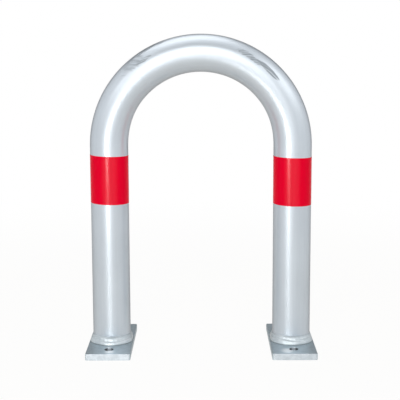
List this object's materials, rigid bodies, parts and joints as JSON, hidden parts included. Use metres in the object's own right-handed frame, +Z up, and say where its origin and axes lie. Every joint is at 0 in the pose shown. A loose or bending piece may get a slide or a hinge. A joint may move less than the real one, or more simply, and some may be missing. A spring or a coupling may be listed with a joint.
{
  "type": "hoop barrier",
  "caption": "Galvanised steel tube bent into an inverted U, welded to drilled floor plates, with a red reflective band on each leg; bolts down to guard a corner, rack or post.",
  "frame": {"origin": "centre of the footprint, on the floor under the two base plates", "axes": "+X from the left leg to the right leg in the plane of the hoop, +Y from the front to the back of the plates, +Z up"},
  "size_m": [0.36, 0.16, 0.5],
  "materials": {
    "galvanised_tube": "hot-dip galvanised, satin grey with faint runs",
    "galvanised_plate": "hot-dip galvanised flat bar, duller than the tube",
    "galvanised_weld": "weld metal under zinc, satin, with a faint ripple",
    "red_film": "smooth reflective film"
  },
  "bodies": {
    "root": {"hoop_tube": "galvanised_tube", "left_base_plate": "galvanised_plate", "right_base_plate": "galvanised_plate", "left_weld_bead": "galvanised_weld", "right_weld_bead": "galvanised_weld", "left_red_band": "red_film", "right_red_band": "red_film"}
  },
  "joints": []
}
